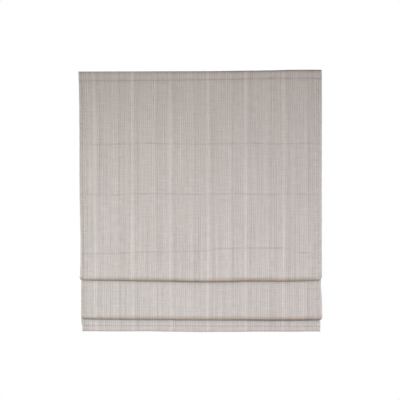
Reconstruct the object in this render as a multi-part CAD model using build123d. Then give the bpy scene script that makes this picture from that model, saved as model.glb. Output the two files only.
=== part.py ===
from build123d import *
import os

os.makedirs("parts", exist_ok=True)

# Width of the blind and the rows of rings across it
blind_width = 1000.0
column_count = 3
column_inset = 110.0

# Timber batten that carries the blind, with its top face on the origin
batten_inset = 5.0
batten_depth = 60.0
batten_height = 30.0
batten_edge_break = 1.0
screw_inset = 95.0
screw_hole_radius = 2.5
countersink_radius = 5.0
countersink_depth = 2.5
cut_overrun = 2.0

# Hook tape on the batten and loop tape on the cloth
tape_inset = 8.0
tape_height = 25.0
tape_thickness = 1.2
tape_drop = 4.0

# Cloth and its turnings
cloth_thickness = 0.8
side_hem_thickness = 2.0
side_hem_width = 16.0
side_hem_ramp = 0.5
cloth_top_drop = 1.5
heading_height = 35.0
heading_thickness = 2.0
heading_step = 0.4
heading_groove = 0.6
heading_groove_height = 1.6
heading_ease = 16.0

# Heights of the three seams seen on the front, below the top of the batten
seam_drops = (301.0, 510.0, 747.0)
seam_dip = 1.0
seam_flat_above = 5.0
seam_flat_below = 16.0
seam_ease = 14.0

# Two soft folds, each hanging in front of a raised rod
fold_drops = (859.0, 1026.0)
fold_sags = (12.0, 8.0)
fold_radius = 9.0
turn_radius = 1.5
turn_drops = (803.0, 974.0)
bottom_drop = 1083.0

# How far each place across the width follows the sag of its fold
station_shares = (-0.72, -0.46, -0.2, 0.05, 0.3, 0.54, 0.76)
sag_shares = (
    (0.40, 0.78, 0.97, 1.00, 0.90, 0.68, 0.36),
    (0.48, 0.74, 1.00, 0.96, 0.99, 0.80, 0.42),
)

# Bottom hem and the bar inside it
hem_room = 4.0
hem_height = 20.0
hem_seam_height = 1.6
bar_inset = 25.0
bar_height = 14.0
bar_thickness = 2.4
cap_wall = 0.5
cap_length = 12.0
cap_cover = 10.0

# Rod pockets on the back of the cloth, their rods and the plugs on the rod ends
pocket_inset = 28.0
pocket_flange_height = 13.0
pocket_flange_thickness = 0.8
pocket_lift = 4.0
pocket_stand_off = 0.4
pocket_wall = 0.7
rod_radius = 2.0
rod_clearance = 0.3
rod_overhang = 7.0
plug_length = 7.0
plug_cover = 5.0
rod_level_below_turn = 7.0

# Cord rings sewn to the pockets and screw eyes under the batten
ring_hole_radius = 3.9
ring_rim = 2.2
ring_height = 2.4
ring_foot_width = 9.0
ring_foot_height = 7.0
ring_foot_thickness = 1.0
ring_bite = 0.6
eye_radius = 5.0
eye_wire_radius = 1.2
eye_wire_sides = 8
eye_shank_radius = 1.0
eye_shank_depth = 14.0
eye_gap = 0.4
pilot_clearance = 0.3
eye_set_back = 12.0

# Lengths across the blind that follow from its width
batten_length = blind_width - 2 * batten_inset
screw_spacing = batten_length - 2 * screw_inset
tape_length = blind_width - 2 * tape_inset
bar_length = blind_width - 2 * bar_inset
pocket_length = blind_width - 2 * pocket_inset
rod_length = pocket_length + 2 * rod_overhang
column_reach = blind_width / 2 - column_inset

# Tubes round the rods that follow from the rods
pocket_bore_radius = rod_radius + rod_clearance
pocket_outer_radius = pocket_bore_radius + pocket_wall

# Levels and planes that follow from the sizes above
batten_front = -batten_depth / 2
loop_back = batten_front - tape_thickness
heading_back = loop_back - tape_thickness
heading_face = heading_back - heading_thickness
body_face = heading_face + heading_step
pleat_step = 2 * fold_radius + 2 * turn_radius
second_face = body_face + pleat_step
third_face = second_face + pleat_step
hem_thickness = hem_room + 2 * cloth_thickness
cloth_top = -cloth_top_drop
heading_base = cloth_top - heading_height
bottom_level = -bottom_drop
hem_top = bottom_level + hem_height
rod_faces = (
    body_face + seam_dip,
    body_face + seam_dip,
    body_face + seam_dip,
    second_face,
    third_face,
)
rod_drops = (
    seam_drops[0],
    seam_drops[1],
    seam_drops[2],
    turn_drops[0] + rod_level_below_turn,
    turn_drops[1] + rod_level_below_turn,
)
column_places = [column_reach * (2 * n / (column_count - 1) - 1) for n in range(column_count)]


def save(shape, name):
    """Write one named piece."""
    shape.label = name
    export_step(shape, f"parts/{name}.step")


def box_between(low, high):
    """Upright box between two opposite corners."""
    size = Vector(*high) - Vector(*low)
    return Pos(*((Vector(*low) + Vector(*high)) * 0.5)) * Box(size.X, size.Y, size.Z)


def rod_along_x(radius, length, y, z):
    """Round bar across the blind, centred on its width."""
    return Pos(0, y, z) * Rot(0, 90, 0) * Cylinder(radius, length)


def line(x, a, b):
    """Straight stretch of the section at one place across the width."""
    return Edge.make_line(Vector(x, *a), Vector(x, *b))


def half_round(x, a, b, way):
    """Half circle from a to b at one level, over the top or under the bottom."""
    radius = abs(b[0] - a[0]) / 2
    middle = ((a[0] + b[0]) / 2, a[1] + way * radius)
    return Edge.make_three_point_arc(Vector(x, *a), Vector(x, *middle), Vector(x, *b))


def front_stretch(depth_of_body, depth_of_heading):
    """Points from the heading down to the first fold, on one side of the cloth."""
    groove = depth_of_body + heading_groove
    points = [
        (depth_of_heading, cloth_top),
        (depth_of_heading, heading_base),
        (groove, heading_base - heading_groove_height),
        (depth_of_body, heading_base - heading_ease),
    ]
    for drop in seam_drops:
        flat_top = seam_flat_above - drop
        flat_base = -drop - seam_flat_below
        points += [
            (depth_of_body, flat_top + seam_ease),
            (depth_of_body + seam_dip, flat_top),
            (depth_of_body + seam_dip, flat_base),
            (depth_of_body, flat_base - seam_ease),
        ]
    return points


def cloth_section(x, thickness, sags):
    """Closed outline of the folded cloth at one place across its width."""
    rolls = [fold_radius - drop - sag for drop, sag in zip(fold_drops, sags)]
    turns = [-turn_radius - thickness - drop for drop in turn_drops]
    face = front_stretch(body_face, heading_face)
    back = front_stretch(body_face + thickness, heading_back)
    edges = [line(x, back[0], face[0])]
    edges += [line(x, a, b) for a, b in zip(face, face[1:])]
    last = face[-1]
    plane = body_face
    for roll, turn in zip(rolls, turns):
        rise = plane + 2 * fold_radius
        edges.append(line(x, last, (plane, roll)))
        edges.append(half_round(x, (plane, roll), (rise, roll), -1))
        edges.append(line(x, (rise, roll), (rise, turn)))
        edges.append(half_round(x, (rise, turn), (plane + pleat_step, turn), 1))
        plane += pleat_step
        last = (plane, turn)
    base = bottom_level + hem_thickness / 2
    edges.append(line(x, last, (plane, base)))
    edges.append(half_round(x, (plane, base), (plane + hem_thickness, base), -1))
    edges.append(line(x, (plane + hem_thickness, base), (plane + hem_thickness, hem_top)))
    last = (plane + thickness, hem_top + hem_seam_height)
    edges.append(line(x, (plane + hem_thickness, hem_top), last))
    for roll, turn in zip(reversed(rolls), reversed(turns)):
        rise = plane - 2 * turn_radius - thickness
        start = (plane + thickness, turn)
        plane -= pleat_step
        edges.append(line(x, last, start))
        edges.append(half_round(x, start, (rise, turn), 1))
        edges.append(line(x, (rise, turn), (rise, roll)))
        last = (plane + thickness, roll)
        edges.append(half_round(x, (rise, roll), last, -1))
    edges.append(line(x, last, back[-1]))
    climb = back[::-1]
    edges += [line(x, a, b) for a, b in zip(climb, climb[1:])]
    return Wire(edges)


def blind_cloth():
    """The whole cloth: one sheet, hemmed at the sides, lofted through its sagging folds."""
    half = blind_width / 2
    inner = half - side_hem_width
    level = (0, 0)
    sections = [
        cloth_section(-half, side_hem_thickness, level),
        cloth_section(-inner, side_hem_thickness, level),
        cloth_section(-inner + side_hem_ramp, cloth_thickness, level),
    ]
    for place, first, second in zip(station_shares, *sag_shares):
        sags = [first * fold_sags[0], second * fold_sags[1]]
        sections.append(cloth_section(place * half, cloth_thickness, sags))
    sections += [
        cloth_section(inner - side_hem_ramp, cloth_thickness, level),
        cloth_section(inner, side_hem_thickness, level),
        cloth_section(half, side_hem_thickness, level),
    ]
    return Solid.make_loft(sections, ruled=True) - hem_cavity()


def hem_cavity():
    """Room for the bar inside the bottom hem, open at both sides of the blind."""
    length = blind_width + 2 * cut_overrun
    y = third_face + hem_thickness / 2
    base = bottom_level + hem_thickness / 2
    slot = box_between(
        (-length / 2, y - hem_room / 2, base),
        (length / 2, y + hem_room / 2, hem_top),
    )
    return slot + rod_along_x(hem_room / 2, length, y, base)


def batten():
    """Timber batten with screw holes from below and pilot holes for the eyes."""
    body = Pos(0, 0, -batten_height / 2) * Box(batten_length, batten_depth, batten_height)
    body = chamfer(body.edges(), batten_edge_break)
    for side in (-1, 1):
        x = side * screw_spacing / 2
        shank = Cylinder(screw_hole_radius, batten_height + 2 * cut_overrun)
        body -= Pos(x, 0, -batten_height / 2) * shank
        sink = Cone(countersink_radius, screw_hole_radius, countersink_depth)
        body -= Pos(x, 0, -batten_height + countersink_depth / 2) * sink
    pilot_length = eye_shank_depth + cut_overrun
    pilot = Cylinder(eye_shank_radius + pilot_clearance, pilot_length)
    for x in column_places:
        middle = eye_shank_depth - batten_height - pilot_length / 2
        body -= Pos(x, batten_front + eye_set_back, middle) * pilot
    return body


def tape(back):
    """Flat tape standing in front of the given plane."""
    return box_between(
        (-tape_length / 2, back - tape_thickness, -tape_drop - tape_height),
        (tape_length / 2, back, -tape_drop),
    )


def screw_eyes():
    """Three wire eyes screwed up into the batten, one over each row of rings."""
    eyes = []
    for x in column_places:
        centre = -batten_height - eye_gap - eye_wire_radius - eye_radius
        tip = eye_shank_depth - batten_height
        foot = centre + eye_radius
        shank = Pos(0, 0, (tip + foot) / 2) * Cylinder(eye_shank_radius, tip - foot)
        wire = Plane.XZ * Pos(eye_radius, 0) * RegularPolygon(eye_wire_radius, eye_wire_sides)
        loop = Pos(0, 0, centre) * Rot(0, -90, 0) * revolve(wire, Axis.Z)
        eyes.append(Pos(x, batten_front + eye_set_back, 0) * (shank + loop))
    return Compound(children=eyes)


def rod_centre(face, drop):
    """Depth and level of a rod's axis behind its seam."""
    y = face + cloth_thickness + pocket_stand_off + pocket_outer_radius
    return y, pocket_lift - pocket_flange_height - drop


def rod_pocket(face, drop):
    """Tape folded to a tube for the rod, with the flange that is sewn to the cloth."""
    y, z = rod_centre(face, drop)
    back = face + cloth_thickness
    flange = box_between(
        (-pocket_length / 2, back, z),
        (pocket_length / 2, back + pocket_flange_thickness, z + pocket_flange_height),
    )
    tube = rod_along_x(pocket_outer_radius, pocket_length, y, z)
    bore = rod_along_x(pocket_bore_radius, pocket_length + 2 * cut_overrun, y, z)
    return flange + tube - bore


def rod_end_plugs(face, drop):
    """Two plastic plugs that cap the ends of one rod."""
    y, z = rod_centre(face, drop)
    plugs = []
    for side in (-1, 1):
        inner = side * (rod_length / 2 - plug_cover)
        shell = Pos(inner + side * plug_length / 2, y, z) * Rot(0, 90, 0)
        shell = shell * Cylinder(pocket_outer_radius, plug_length)
        reach = plug_cover + cut_overrun
        bore = Pos(inner + side * (plug_cover - reach / 2), y, z) * Rot(0, 90, 0)
        bore = bore * Cylinder(pocket_bore_radius, reach)
        plugs.append(shell - bore)
    return Compound(children=plugs)


def cord_rings(face, drop):
    """Three rings with flat feet, sewn to the flange of one rod pocket."""
    seat = face + cloth_thickness + pocket_flange_thickness
    top = pocket_lift - drop
    rings = []
    for x in column_places:
        foot = box_between(
            (x - ring_foot_width / 2, seat, top - ring_foot_height),
            (x + ring_foot_width / 2, seat + ring_foot_thickness, top),
        )
        rim_radius = ring_hole_radius + ring_rim
        place = Pos(x, seat + ring_foot_thickness + rim_radius - ring_bite, top - ring_foot_height / 2)
        rim = place * Cylinder(rim_radius, ring_height)
        hole = place * Cylinder(ring_hole_radius, ring_height + 2 * cut_overrun)
        rings.append(foot + rim - hole)
    return Compound(children=rings)


def bar_floor():
    """Level on which the bar and its caps rest inside the hem."""
    return bottom_level + hem_thickness / 2


def bottom_bar():
    """Flat weight bar in the bottom hem."""
    y = third_face + hem_thickness / 2
    z = bar_floor() + cap_wall + bar_height / 2
    return Pos(0, y, z) * Box(bar_length, bar_thickness, bar_height)


def bottom_bar_end_caps():
    """Two plastic caps pushed over the ends of the bar."""
    y = third_face + hem_thickness / 2
    z = bar_floor() + cap_wall + bar_height / 2
    caps = []
    for side in (-1, 1):
        start = side * (bar_length / 2 - cap_cover)
        cap = Pos(start + side * cap_length / 2, y, z) * Box(
            cap_length, bar_thickness + 2 * cap_wall, bar_height + 2 * cap_wall
        )
        reach = cap_cover + cut_overrun
        room = Pos(start + side * (cap_cover - reach / 2), y, z)
        room = room * Box(reach, bar_thickness, bar_height)
        caps.append(cap - room)
    return Compound(children=caps)


save(batten(), "batten")
save(tape(batten_front), "hook_tape")
save(tape(loop_back), "loop_tape")
save(blind_cloth(), "blind_cloth")
save(screw_eyes(), "screw_eyes")
for number, (face, drop) in enumerate(zip(rod_faces, rod_drops), start=1):
    rod_y, rod_z = rod_centre(face, drop)
    save(rod_pocket(face, drop), f"rod_pocket_{number}")
    save(rod_along_x(rod_radius, rod_length, rod_y, rod_z), f"rod_{number}")
    save(rod_end_plugs(face, drop), f"rod_end_plugs_{number}")
    save(cord_rings(face, drop), f"cord_rings_{number}")
save(bottom_bar(), "bottom_bar")
save(bottom_bar_end_caps(), "bottom_bar_end_caps")
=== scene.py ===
"""Looks of a partly raised roman blind, in the same frame as its solids."""
import logging
import math
from dataclasses import dataclass, field
from enum import Enum
from functools import cache
from typing import Any, Optional, Sequence, Union

import bmesh
import bpy
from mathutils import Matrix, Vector, noise


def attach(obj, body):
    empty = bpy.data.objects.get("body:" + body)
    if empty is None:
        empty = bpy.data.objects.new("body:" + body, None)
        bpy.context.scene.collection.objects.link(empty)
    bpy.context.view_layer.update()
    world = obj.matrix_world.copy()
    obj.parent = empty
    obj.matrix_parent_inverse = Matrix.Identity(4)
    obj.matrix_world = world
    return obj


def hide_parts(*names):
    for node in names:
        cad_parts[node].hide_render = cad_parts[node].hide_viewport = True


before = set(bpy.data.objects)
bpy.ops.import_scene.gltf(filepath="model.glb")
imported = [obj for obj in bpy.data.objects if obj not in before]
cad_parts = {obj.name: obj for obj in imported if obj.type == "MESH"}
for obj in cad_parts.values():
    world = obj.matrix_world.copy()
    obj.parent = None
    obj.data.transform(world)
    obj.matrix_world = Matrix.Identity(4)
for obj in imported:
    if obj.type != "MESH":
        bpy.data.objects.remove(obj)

LOG = logging.getLogger("roman_blind")
Pair = tuple[float, float]
Triple = tuple[float, float, float]
Colour = tuple[float, float, float, float]
Row = tuple[float, ...]
Table = tuple[Pair, ...]
Grid = list[list[Vector]]
SeamPath = list[tuple[Vector, Vector]]
WHITE: Colour = (1.0, 1.0, 1.0, 1.0)
TURN = 2 * math.pi


# Shader sums and the bench on which every finish is made


class Shade:
    """One shader socket that takes part in plain sums."""

    def __init__(self, bench: "NodeBench", socket: bpy.types.NodeSocket) -> None:
        """Keep the socket and the bench that owns it."""
        self.bench = bench
        self.socket = socket

    def _sum(self, operation: str, *terms: "Operand") -> "Shade":
        """Add one Math node.

        Args:
            operation: the node's operation.
            terms: its inputs, in order.

        Returns:
            The node's result.
        """
        node = self.bench.node("ShaderNodeMath", {"operation": operation}, dict(enumerate(terms)))
        return Shade(self.bench, node.outputs[0])

    def __add__(self, other: "Operand") -> "Shade":
        """Sum."""
        return self._sum("ADD", self, other)

    __radd__ = __add__

    def __sub__(self, other: "Operand") -> "Shade":
        """Difference."""
        return self._sum("SUBTRACT", self, other)

    def __rsub__(self, other: "Operand") -> "Shade":
        """Difference from a number on the left."""
        return self._sum("SUBTRACT", other, self)

    def __mul__(self, other: "Operand") -> "Shade":
        """Product."""
        return self._sum("MULTIPLY", self, other)

    def __truediv__(self, other: "Operand") -> "Shade":
        """Quotient."""
        return self._sum("DIVIDE", self, other)

    def fraction(self) -> "Shade":
        """Part after the point, for a pattern that repeats."""
        return self._sum("FRACT", self)

    def sine(self) -> "Shade":
        """Sine of an angle in radians."""
        return self._sum("SINE", self)

    def size(self) -> "Shade":
        """Value without its sign."""
        return self._sum("ABSOLUTE", self)

    def power(self, exponent: float) -> "Shade":
        """Value raised to a power."""
        return self._sum("POWER", self, exponent)


Operand = Union[Shade, float, int]


class NodeBench:
    """A tree of nodes, with a single way to add any of them."""

    def __init__(self, owner: Union[bpy.types.Material, bpy.types.World]) -> None:
        """Start with an empty tree."""
        owner.use_nodes = True
        self.tree = owner.node_tree
        self.tree.nodes.clear()

    def node(
        self,
        kind: str,
        settings: Optional[dict[str, Any]] = None,
        sockets: Optional[dict[Union[str, int], Any]] = None,
    ) -> bpy.types.Node:
        """Add a node.

        Args:
            kind: the node's type.
            settings: its properties, set first; "stops" fills a colour ramp.
            sockets: values or links of its inputs.

        Returns:
            The new node.
        """
        made = self.tree.nodes.new(kind)
        for key, value in (settings or {}).items():
            if key == "stops":
                self._fill(made.color_ramp, value)
            else:
                setattr(made, key, value)
        for key, value in (sockets or {}).items():
            self.feed(made.inputs[key], value)
        return made

    def feed(self, target: bpy.types.NodeSocket, value: Any) -> None:
        """Link a socket or set its value."""
        if isinstance(value, Shade):
            value = value.socket
        if isinstance(value, bpy.types.NodeSocket):
            self.tree.links.new(value, target)
        else:
            target.default_value = value

    @staticmethod
    def _fill(ramp: bpy.types.ColorRamp, stops: Sequence[Pair]) -> None:
        """Set a grey ramp's stops from pairs of place and tone."""
        while len(ramp.elements) > 1:
            ramp.elements.remove(ramp.elements[-1])
        for number, (place, tone) in enumerate(stops):
            element = ramp.elements[0] if number == 0 else ramp.elements.new(place)
            element.position = place
            element.color = (tone, tone, tone, 1.0)


class Bench(NodeBench):
    """The nodes of one material."""

    def __init__(self, name: str) -> None:
        """Start a material with a shader and an output."""
        self.material = bpy.data.materials.new(name)
        super().__init__(self.material)
        self.shader = self.node("ShaderNodeBsdfPrincipled")
        self.node("ShaderNodeOutputMaterial", sockets={"Surface": self.shader.outputs[0]})

    def uv(self, name: str) -> tuple[Shade, Shade]:
        """Two coordinates of a named map, in metres along the cloth."""
        found = self.node("ShaderNodeUVMap", {"uv_map": name})
        split = self.node("ShaderNodeSeparateXYZ", sockets={0: found.outputs[0]})
        return Shade(self, split.outputs[0]), Shade(self, split.outputs[1])

    def place(self) -> tuple[Shade, Shade, Shade]:
        """Three coordinates of the object, in metres."""
        found = self.node("ShaderNodeTexCoord")
        split = self.node("ShaderNodeSeparateXYZ", sockets={0: found.outputs["Object"]})
        return tuple(Shade(self, socket) for socket in split.outputs)

    def point(self, x: Operand, y: Operand, z: Operand = 0.0) -> Shade:
        """Vector from three values."""
        return Shade(self, self.node("ShaderNodeCombineXYZ", sockets={0: x, 1: y, 2: z}).outputs[0])

    def grain(self, where: Shade, detail: float = 2.0, rough: float = 0.55) -> Shade:
        """Cloudy noise at a point, about one half on average."""
        node = self.node(
            "ShaderNodeTexNoise",
            {"noise_dimensions": "3D"},
            {"Vector": where, "Scale": 1.0, "Detail": detail, "Roughness": rough},
        )
        return Shade(self, node.outputs["Fac"])

    def speckle(self, place: Sequence[Shade], scales: Triple, detail: float = 2.0) -> Shade:
        """Cloudy noise about nought, stretched by a scale along each axis."""
        return self.grain(self.point(*(at * scale for at, scale in zip(place, scales))), detail) - 0.5

    def mix(self, share: Operand, low: Any, high: Any, blend: str = "MIX") -> Shade:
        """Colour between two colours, or one colour blended with another by a share."""
        settings = {"data_type": "RGBA", "blend_type": blend}
        return Shade(self, self.node("ShaderNodeMix", settings, {0: share, 6: low, 7: high}).outputs[2])

    def around(self, tone: Operand, colour: Colour, reach: Pair) -> Shade:
        """Colour between a darker and a lighter copy of itself."""
        return self.mix(tone, scaled(colour, reach[0]), scaled(colour, reach[1]))

    def relief(self, height: Shade, depth: float, strength: float) -> Shade:
        """Surface normal from a height."""
        sockets = {"Strength": strength, "Distance": depth, "Height": height}
        return Shade(self, self.node("ShaderNodeBump", sockets=sockets).outputs[0])

    def dress(self, **inputs: Any) -> bpy.types.Material:
        """Set the shader's inputs.

        Args:
            inputs: the inputs' names with underscores for spaces, and their values.

        Returns:
            The finished material.
        """
        for key, value in inputs.items():
            self.feed(self.shader.inputs[key.replace("_", " ")], value)
        return self.material


def scaled(colour: Colour, share: float) -> Colour:
    """Lighter or darker copy of a colour."""
    return (colour[0] * share, colour[1] * share, colour[2] * share, 1.0)


# Finishes


@dataclass(frozen=True)
class Band:
    """One woven band of the stripe, as shares of the repeat and a tone about one half."""

    start: float
    end: float
    tone: float


@dataclass(frozen=True)
class Fleck:
    """A cloudy pattern in the weave.

    Across, down and slant are its changes in a metre of cloth, and gain is its share in the cloth's tone.
    """

    across: float
    down: float
    seed: float
    detail: float = 1.0
    rough: float = 0.55
    gain: float = 1.0
    slant: float = 0.0

    def seen(self, bench: Bench, u: Shade, v: Shade) -> Shade:
        """The pattern at one place of the cloth, about one half on average."""
        first = u * self.across + v * self.slant if self.slant else u * self.across
        return bench.grain(bench.point(first, v * self.down, self.seed), self.detail, self.rough)


@dataclass(frozen=True)
class StripedCloth:
    """Plain-woven cloth with fine warp stripes in warm greys, and painted shade in its folds and creases."""

    name: str = "striped cloth"
    rose: Colour = (0.592, 0.532, 0.511, 1.0)
    moss: Colour = (0.580, 0.537, 0.503, 1.0)
    reach: Pair = (0.5, 1.5)
    repeat: float = 0.1565
    first: float = -0.4462
    whole_repeats: float = 8.0
    thread: float = 0.00085
    rib: float = 0.0087
    bands: tuple[Band, ...] = (
        Band(0.014, 0.084, 1.00),
        Band(0.140, 0.225, 0.30),
        Band(0.303, 0.329, 0.60),
        Band(0.382, 0.408, 0.60),
        Band(0.510, 0.670, 0.64),
        Band(0.698, 0.732, 0.14),
        Band(0.770, 0.866, 0.42),
        Band(0.884, 0.922, 0.61),
    )
    edge: float = 0.008
    band_gain: float = 0.22
    ends: Fleck = Fleck(31.0, 0.9, 3.0, 2.0, 0.6, gain=0.11)
    fine: Fleck = Fleck(225.0, 2.4, 7.0, gain=0.38)
    slub: Fleck = Fleck(230.0, 26.0, 1.0, gain=0.26)
    weft: Fleck = Fleck(16.0, 200.0, 5.0, gain=0.22)
    cloud: Fleck = Fleck(5.0, 4.0, 9.0, 2.0, gain=0.06)
    wander: Fleck = Fleck(17.0, 1.5, 12.0)
    patch: Fleck = Fleck(22.0, 13.0, 15.0)
    drift: Fleck = Fleck(26.0, 3.0, 2.0, gain=1.8)
    # Noise of the side hems' puckers: bumps, and painted shade in the cloth's colour
    pucker: Fleck = Fleck(70.0, 85.0, 4.0, gain=1.7)
    drag: Fleck = Fleck(60.0, 120.0, 6.0, gain=1.0, slant=55.0)
    rib_gain: float = 0.13
    pick_gain: float = 0.024
    # Painted shade: warm brown multiplied into the cloth's colour on the rolls of the folds
    fold_shade_tint: Colour = (0.69, 0.575, 0.485, 1.0)
    # Painted shade: grey multiplied into the cloth's colour in creases, seams, heading edges, the hem line, the
    # bottom edge and the side hems' puckers
    crease_shade_tint: Colour = (0.65, 0.62, 0.60, 1.0)

    def stops(self) -> list[Pair]:
        """Ramp stops of the woven bands, with soft edges."""
        found: list[Pair] = []
        for band in self.bands:
            found += [
                (band.start - self.edge, 0.5),
                (band.start + self.edge, band.tone),
                (band.end - self.edge, band.tone),
                (band.end + self.edge, 0.5),
            ]
        return found

    def make(self) -> bpy.types.Material:
        """Make the material.

        Returns:
            Cloth that reads the map named Cloth, with painted shade from the maps named Shade and Hem.
        """
        bench = Bench(self.name)
        u, v = bench.uv("Cloth")
        turn = ((u - self.first) / self.repeat + self.whole_repeats).fraction()
        ramp = bench.node("ShaderNodeValToRGB", {"stops": self.stops()}, {0: turn})
        tone = (Shade(bench, ramp.outputs[0]) - 0.5) * self.band_gain
        ends = self.ends.seen(bench, turn, v) - 0.5
        tone = tone + ends * self.ends.gain
        slub, weft = self.slub.seen(bench, u, v) - 0.5, self.weft.seen(bench, u, v) - 0.5
        fine, cloud = self.fine.seen(bench, u, v) - 0.5, self.cloud.seen(bench, u, v) - 0.5
        for fleck, pattern in ((self.fine, fine), (self.slub, slub), (self.weft, weft), (self.cloud, cloud)):
            tone = tone + pattern * fleck.gain
        wander, patch = self.wander.seen(bench, u, v), self.patch.seen(bench, u, v)
        rib = ((u * (1.0 / self.rib) + wander * 1.6) * TURN).sine() * (patch * 1.6 - 0.35)
        pick = ((v * (1.0 / self.rib) + wander * 2.0) * TURN).sine() * (0.9 - patch * 1.5)
        tone = tone + rib * self.rib_gain + pick * self.pick_gain
        tint = (self.drift.seen(bench, u, v) - 0.5) * self.drift.gain + 0.5
        low, high = (bench.mix(tint, scaled(self.rose, share), scaled(self.moss, share)) for share in self.reach)
        colour = bench.mix(tone + 0.5, low, high)
        # Painted shade: the Shade map's two shares darken the colour in the folds and in the creases
        fold, crease = bench.uv("Shade")
        colour = bench.mix(fold, colour, self.fold_shade_tint, "MULTIPLY")
        # Painted shade: the side hems' puckers darken the colour in blotches, besides raising bumps
        swell, pull = bench.uv("Hem")
        pucker = swell * (self.pucker.seen(bench, u, v) - 0.5)
        drag = pull * (self.drag.seen(bench, u, v) - 0.5)
        crease = crease * (ends * 1.2 + 1.0) + pucker * self.pucker.gain + drag * self.drag.gain
        colour = bench.mix(crease, colour, self.crease_shade_tint, "MULTIPLY")
        turns = TURN / self.thread
        weave = (u * turns).sine() * (v * turns).sine()
        height = weave * 0.5 + ends * 0.8 + slub * 0.6 + weft * 0.5 - pucker * 14.0 - drag * 9.0
        return bench.dress(
            Base_Color=colour,
            Roughness=0.88,
            Specular_IOR_Level=0.25,
            Sheen_Weight=0.1,
            Sheen_Roughness=0.5,
            Normal=bench.relief(height, 0.0003, 0.45),
        )


@dataclass(frozen=True)
class WovenTape:
    """Pale woven tape with a herringbone rib along its length."""

    name: str
    colour: Colour = (0.66, 0.63, 0.585, 1.0)
    rib: float = 0.0011
    rough: float = 0.9
    nap: float = 0.25
    reach: Pair = (0.72, 1.28)
    fuzz: Triple = (900.0, 900.0, 900.0)
    cloud: Triple = (30.0, 60.0, 60.0)

    def make(self) -> bpy.types.Material:
        """Make the material.

        Returns:
            Tape that reads the object's own place.
        """
        bench = Bench(self.name)
        x, y, z = place = bench.place()
        turns = TURN / self.rib
        slant = ((z * turns * 0.25).sine().size() * 1.6 + x * turns).sine()
        rows = ((z + y) * turns * 1.3).sine()
        fuzz = bench.speckle(place, self.fuzz)
        tone = slant * 0.05 + fuzz * self.nap + bench.speckle(place, self.cloud) * 0.12 + 0.5
        return bench.dress(
            Base_Color=bench.around(tone, self.colour, self.reach),
            Roughness=self.rough,
            Specular_IOR_Level=0.2,
            Sheen_Weight=0.1,
            Normal=bench.relief(slant * 0.5 + rows * 0.2 + fuzz, 0.0002, 0.5),
        )


@dataclass(frozen=True)
class Timber:
    """Planed softwood with its grain along the batten."""

    name: str = "planed softwood"
    pale: Colour = (0.66, 0.485, 0.30, 1.0)
    late: Colour = (0.42, 0.245, 0.115, 1.0)
    ring: float = 0.0065
    pith: Pair = (-0.11, -0.05)
    wander: Triple = (2.2, 14.0, 14.0)
    fibre: Triple = (14.0, 900.0, 900.0)
    patch: Triple = (5.0, 20.0, 20.0)

    def make(self) -> bpy.types.Material:
        """Make the material.

        Returns:
            Wood whose rings run along X.
        """
        bench = Bench(self.name)
        _, y, z = place = bench.place()
        wander = bench.speckle(place, self.wander, 3.0)
        fibre = bench.speckle(place, self.fibre)
        deep, high = y - self.pith[0], z - self.pith[1]
        radius = (deep * deep + high * high).power(0.5) + wander * 0.02
        ring = (radius / self.ring).fraction().power(3.0)
        share = ring * 0.5 + fibre * 0.45 + bench.speckle(place, self.patch) * 0.3 + 0.18
        return bench.dress(
            Base_Color=bench.mix(share, self.pale, self.late),
            Roughness=0.62 + fibre * 0.2,
            Specular_IOR_Level=0.35,
            Normal=bench.relief(ring * 0.4 + fibre, 0.0002, 0.35),
        )


@dataclass(frozen=True)
class Moulded:
    """Moulded plastic with a fine spark-eroded skin."""

    name: str
    colour: Colour
    rough: float = 0.42
    reach: Pair = (0.93, 1.07)
    skin: Triple = (2600.0, 2600.0, 2600.0)
    cloud: Triple = (160.0, 160.0, 160.0)

    def make(self) -> bpy.types.Material:
        """Make the material.

        Returns:
            Plastic with faint cloudiness and grain.
        """
        bench = Bench(self.name)
        place = bench.place()
        cloud = bench.speckle(place, self.cloud)
        return bench.dress(
            Base_Color=bench.around(cloud * 0.8 + 0.5, self.colour, self.reach),
            Roughness=self.rough + cloud * 0.12,
            Normal=bench.relief(bench.speckle(place, self.skin), 0.00008, 0.4),
        )


@dataclass(frozen=True)
class DrawnMetal:
    """Plated wire or mill-finish bar with draw lines along one way."""

    name: str
    colour: Colour
    rough: float = 0.34
    lines: Triple = (30.0, 2400.0, 2400.0)
    stain: Triple = (90.0, 90.0, 90.0)
    reach: Pair = (0.86, 1.1)

    def make(self) -> bpy.types.Material:
        """Make the material.

        Returns:
            Metal with fine draw lines.
        """
        bench = Bench(self.name)
        place = bench.place()
        lines = bench.speckle(place, self.lines)
        stain = bench.speckle(place, self.stain, 3.0)
        return bench.dress(
            Base_Color=bench.around(stain * 0.9 + 0.5, self.colour, self.reach),
            Metallic=1.0,
            Roughness=self.rough + lines * 0.2 + stain * 0.1,
            Normal=bench.relief(lines, 0.00006, 0.5),
        )


@dataclass(frozen=True)
class SewingThread:
    """Twisted sewing thread."""

    name: str
    colour: Colour
    twist: float = 9000.0
    fuzz: Triple = (700.0, 700.0, 700.0)
    reach: Pair = (0.8, 1.2)

    def make(self) -> bpy.types.Material:
        """Make the material.

        Returns:
            Thread with a slanting twist.
        """
        bench = Bench(self.name)
        x, _, z = place = bench.place()
        ply = ((x + z) * self.twist).sine()
        tone = ply * 0.12 + bench.speckle(place, self.fuzz) * 0.5 + 0.5
        return bench.dress(
            Base_Color=bench.around(tone, self.colour, self.reach),
            Roughness=0.75,
            Sheen_Weight=0.15,
            Normal=bench.relief(ply, 0.00008, 0.5),
        )


class Skin(Enum):
    """Finishes of the blind, by the slot that each one belongs to."""

    CLOTH = "striped_cloth"
    TIMBER = "timber"
    HOOK = "hook_tape_nylon"
    LOOP = "loop_tape_nylon"
    POCKET = "pocket_tape"
    ROD = "rod_white"
    PLASTIC = "clear_white_plastic"
    RING = "ring_plastic"
    WIRE = "plated_wire"
    BAR = "bar_metal"
    THREAD = "thread"


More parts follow.
